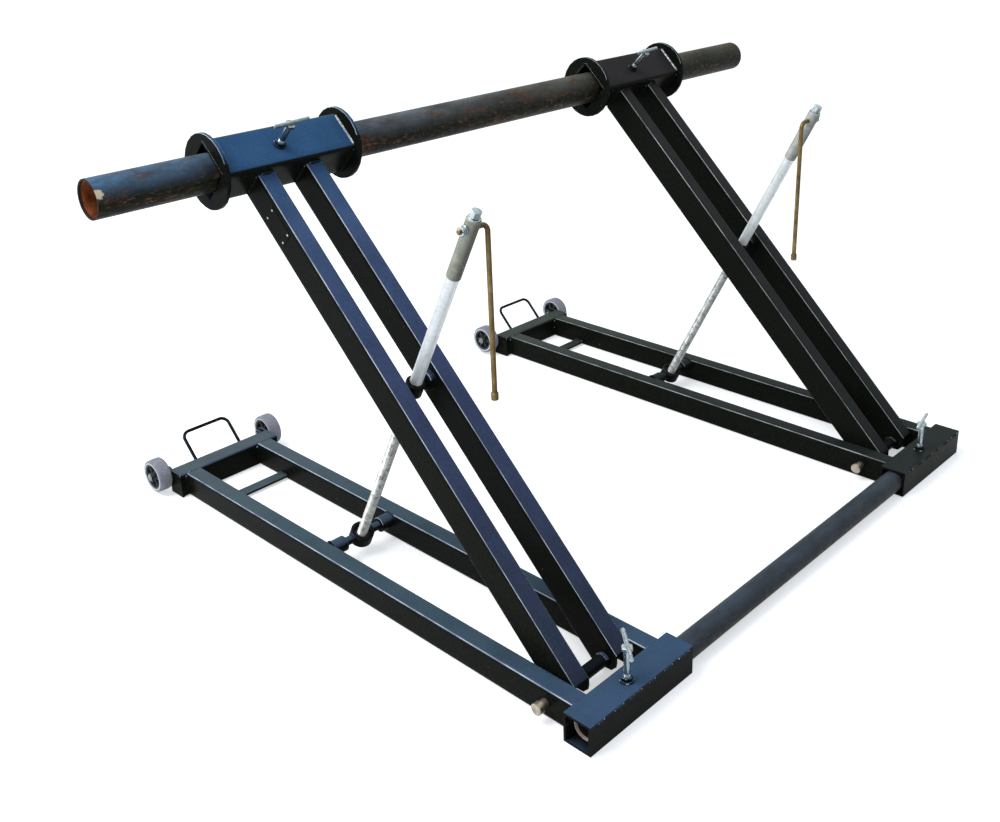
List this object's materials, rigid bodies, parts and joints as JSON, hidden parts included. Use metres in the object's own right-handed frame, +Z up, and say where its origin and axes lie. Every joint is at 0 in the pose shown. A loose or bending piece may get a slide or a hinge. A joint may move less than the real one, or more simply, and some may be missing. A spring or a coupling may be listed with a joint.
{
  "type": "cable drum jack",
  "caption": "Pair of hinged screw jacks joined by a spindle tube and a tie tube, to lift a cable drum off the ground and let it turn.",
  "frame": {"origin": "on the floor under the middle of the whole object", "axes": "+X from the wheels to the toe, +Y along the spindle from the left jack to the right jack, +Z up"},
  "size_m": [1.3971, 2, 0.9375],
  "materials": {
    "black_paint": "dark navy-black gloss enamel on steel",
    "mill_steel": "black mill scale with brown rust",
    "zinc": "bright zinc plate",
    "galvanised": "mottled galvanised and greased thread",
    "grey_sleeve": "dull grey steel",
    "yellow_zinc": "yellow passivated zinc",
    "hub_plastic": "dark grey moulded plastic",
    "grey_rubber": "light grey tyre rubber",
    "bearing_steel": "ground steel with reddish grease"
  },
  "bodies": {
    "left_base": {"left_base_rails": "black_paint", "left_rear_crossmember": "black_paint", "left_rail_tie_strip": "black_paint", "left_carry_handle": "black_paint", "left_toe_box": "black_paint", "left_cup_bosses": "black_paint", "left_hinge_pin": "yellow_zinc", "left_axle_bolts": "zinc"},
    "left_near_wheel": {"left_near_wheel_hub": "hub_plastic", "left_near_wheel_tyre": "grey_rubber"},
    "left_far_wheel": {"left_far_wheel_hub": "hub_plastic", "left_far_wheel_tyre": "grey_rubber"},
    "left_arm": {"left_arm_tubes": "black_paint", "left_spindle_box": "black_paint", "left_box_flanges": "black_paint", "left_arm_bosses": "black_paint", "left_hinge_sleeve": "black_paint"},
    "left_screw_foot": {"left_screw_cup": "black_paint", "left_thrust_bearing": "bearing_steel"},
    "left_screw": {"left_lift_screw": "galvanised", "left_drive_tube": "zinc", "left_drive_head": "grey_sleeve", "left_hex_head": "zinc"},
    "left_crank": {"left_crank_handle": "yellow_zinc"},
    "left_nut": {"left_lift_nut": "black_paint"},
    "left_toe_clamp": {"left_toe_clamp_screw": "zinc"},
    "left_toe_clamp_bar": {"left_toe_clamp_handle": "zinc"},
    "left_box_clamp": {"left_box_clamp_screw": "zinc"},
    "left_box_clamp_bar": {"left_box_clamp_handle": "zinc"},
    "spindle": {"spindle_tube": "mill_steel"},
    "tie_tube": {"tie_tube": "mill_steel"},
    "right_base": {"right_base_rails": "black_paint", "right_rear_crossmember": "black_paint", "right_rail_tie_strip": "black_paint", "right_carry_handle": "black_paint", "right_toe_box": "black_paint", "right_cup_bosses": "black_paint", "right_hinge_pin": "yellow_zinc", "right_axle_bolts": "zinc"},
    "right_near_wheel": {"right_near_wheel_hub": "hub_plastic", "right_near_wheel_tyre": "grey_rubber"},
    "right_far_wheel": {"right_far_wheel_hub": "hub_plastic", "right_far_wheel_tyre": "grey_rubber"},
    "right_arm": {"right_arm_tubes": "black_paint", "right_spindle_box": "black_paint", "right_box_flanges": "black_paint", "right_arm_bosses": "black_paint", "right_hinge_sleeve": "black_paint"},
    "right_screw_foot": {"right_screw_cup": "black_paint", "right_thrust_bearing": "bearing_steel"},
    "right_screw": {"right_lift_screw": "galvanised", "right_drive_tube": "zinc", "right_drive_head": "grey_sleeve", "right_hex_head": "zinc"},
    "right_crank": {"right_crank_handle": "yellow_zinc"},
    "right_nut": {"right_lift_nut": "black_paint"},
    "right_toe_clamp": {"right_toe_clamp_screw": "zinc"},
    "right_toe_clamp_bar": {"right_toe_clamp_handle": "zinc"},
    "right_box_clamp": {"right_box_clamp_screw": "zinc"},
    "right_box_clamp_bar": {"right_box_clamp_handle": "zinc"}
  },
  "joints": [
    {"name": "left_near_wheel_spin", "type": "hinge", "parent": "left_base", "child": "left_near_wheel", "pos_m": [-0.656, -0.7586, 0.0465], "axis": [0, 1, 0], "continuous": true},
    {"name": "left_far_wheel_spin", "type": "hinge", "parent": "left_base", "child": "left_far_wheel", "pos_m": [-0.656, -0.4454, 0.0465], "axis": [0, 1, 0], "continuous": true},
    {"name": "left_arm_lift", "type": "hinge", "parent": "left_base", "child": "left_arm", "pos_m": [0.575, -0.602, 0.031], "axis": [0, 1, 0], "range_deg": [-24.6, 0]},
    {"name": "left_screw_tilt", "type": "hinge", "parent": "left_base", "child": "left_screw_foot", "pos_m": [-0.075, -0.602, 0.045], "axis": [0, 1, 0], "range_deg": [-7.4, 0]},
    {"name": "left_screw_spin", "type": "hinge", "parent": "left_screw_foot", "child": "left_screw", "pos_m": [-0.075, -0.602, 0.045], "axis": [0.4581, 0, 0.8889], "continuous": true},
    {"name": "left_crank_swing", "type": "hinge", "parent": "left_screw", "child": "left_crank", "pos_m": [0.31713, -0.602, 0.8059], "axis": [0, -1, 0], "range_deg": [0, 150]},
    {"name": "left_nut_travel", "type": "slide", "parent": "left_screw_foot", "child": "left_nut", "axis": [0.4581, 0, 0.8889], "range_m": [-0.2585, 0]},
    {"name": "left_toe_clamp_travel", "type": "slide", "parent": "left_base", "child": "left_toe_clamp", "axis": [0, 0, 1], "range_m": [0, 0.0035]},
    {"name": "left_toe_clamp_turn", "type": "hinge", "parent": "left_toe_clamp", "child": "left_toe_clamp_bar", "pos_m": [0.666, -0.612, 0.06], "axis": [0, 0, 1], "range_deg": [0, 720]},
    {"name": "left_box_clamp_travel", "type": "slide", "parent": "left_arm", "child": "left_box_clamp", "axis": [0.7022, 0, 0.712], "range_m": [0, 0.0035]},
    {"name": "left_box_clamp_turn", "type": "hinge", "parent": "left_box_clamp", "child": "left_box_clamp_bar", "pos_m": [-0.20833, -0.612, 0.88352], "axis": [0.7022, 0, 0.712], "range_deg": [0, 720]},
    {"name": "spindle_slide", "type": "slide", "parent": "left_arm", "child": "spindle", "axis": [0, 1, 0], "range_m": [-0.1, 0.1]},
    {"name": "tie_tube_slide", "type": "slide", "parent": "left_base", "child": "tie_tube", "axis": [0, 1, 0], "range_m": [-0.1, 0.1]},
    {"name": "right_base_slide", "type": "slide", "parent": "left_base", "child": "right_base", "axis": [0, 1, 0], "range_m": [-0.35, 0]},
    {"name": "right_near_wheel_spin", "type": "hinge", "parent": "right_base", "child": "right_near_wheel", "pos_m": [-0.656, 0.3504, 0.0465], "axis": [0, 1, 0], "continuous": true},
    {"name": "right_far_wheel_spin", "type": "hinge", "parent": "right_base", "child": "right_far_wheel", "pos_m": [-0.656, 0.6636, 0.0465], "axis": [0, 1, 0], "continuous": true},
    {"name": "right_arm_lift", "type": "hinge", "parent": "right_base", "child": "right_arm", "pos_m": [0.575, 0.507, 0.031], "axis": [0, 1, 0], "range_deg": [-24.6, 0]},
    {"name": "right_screw_tilt", "type": "hinge", "parent": "right_base", "child": "right_screw_foot", "pos_m": [-0.075, 0.507, 0.045], "axis": [0, 1, 0], "range_deg": [-7.4, 0]},
    {"name": "right_screw_spin", "type": "hinge", "parent": "right_screw_foot", "child": "right_screw", "pos_m": [-0.075, 0.507, 0.045], "axis": [0.4581, 0, 0.8889], "continuous": true},
    {"name": "right_crank_swing", "type": "hinge", "parent": "right_screw", "child": "right_crank", "pos_m": [0.31713, 0.507, 0.8059], "axis": [0, -1, 0], "range_deg": [0, 150]},
    {"name": "right_nut_travel", "type": "slide", "parent": "right_screw_foot", "child": "right_nut", "axis": [0.4581, 0, 0.8889], "range_m": [-0.2585, 0]},
    {"name": "right_toe_clamp_travel", "type": "slide", "parent": "right_base", "child": "right_toe_clamp", "axis": [0, 0, 1], "range_m": [0, 0.0035]},
    {"name": "right_toe_clamp_turn", "type": "hinge", "parent": "right_toe_clamp", "child": "right_toe_clamp_bar", "pos_m": [0.666, 0.497, 0.06], "axis": [0, 0, 1], "range_deg": [0, 720]},
    {"name": "right_box_clamp_travel", "type": "slide", "parent": "right_arm", "child": "right_box_clamp", "axis": [0.7022, 0, 0.712], "range_m": [0, 0.0035]},
    {"name": "right_box_clamp_turn", "type": "hinge", "parent": "right_box_clamp", "child": "right_box_clamp_bar", "pos_m": [-0.20833, 0.497, 0.88352], "axis": [0.7022, 0, 0.712], "range_deg": [0, 720]}
  ],
  "couplings": [
    {"joint": "right_arm_lift", "follows": "left_arm_lift", "ratio": 1},
    {"joint": "left_screw_tilt", "follows": "left_arm_lift", "ratio": 0.2991},
    {"joint": "left_nut_travel", "follows": "left_arm_lift", "m_per_rad": 0.60037},
    {"joint": "right_screw_tilt", "follows": "left_arm_lift", "ratio": 0.2991},
    {"joint": "right_nut_travel", "follows": "left_arm_lift", "m_per_rad": 0.60037},
    {"joint": "left_toe_clamp_turn", "follows": "left_toe_clamp_travel", "rad_per_m": 3590.4},
    {"joint": "left_box_clamp_turn", "follows": "left_box_clamp_travel", "rad_per_m": 3590.4},
    {"joint": "right_toe_clamp_turn", "follows": "right_toe_clamp_travel", "rad_per_m": 3590.4},
    {"joint": "right_box_clamp_turn", "follows": "right_box_clamp_travel", "rad_per_m": 3590.4}
  ]
}
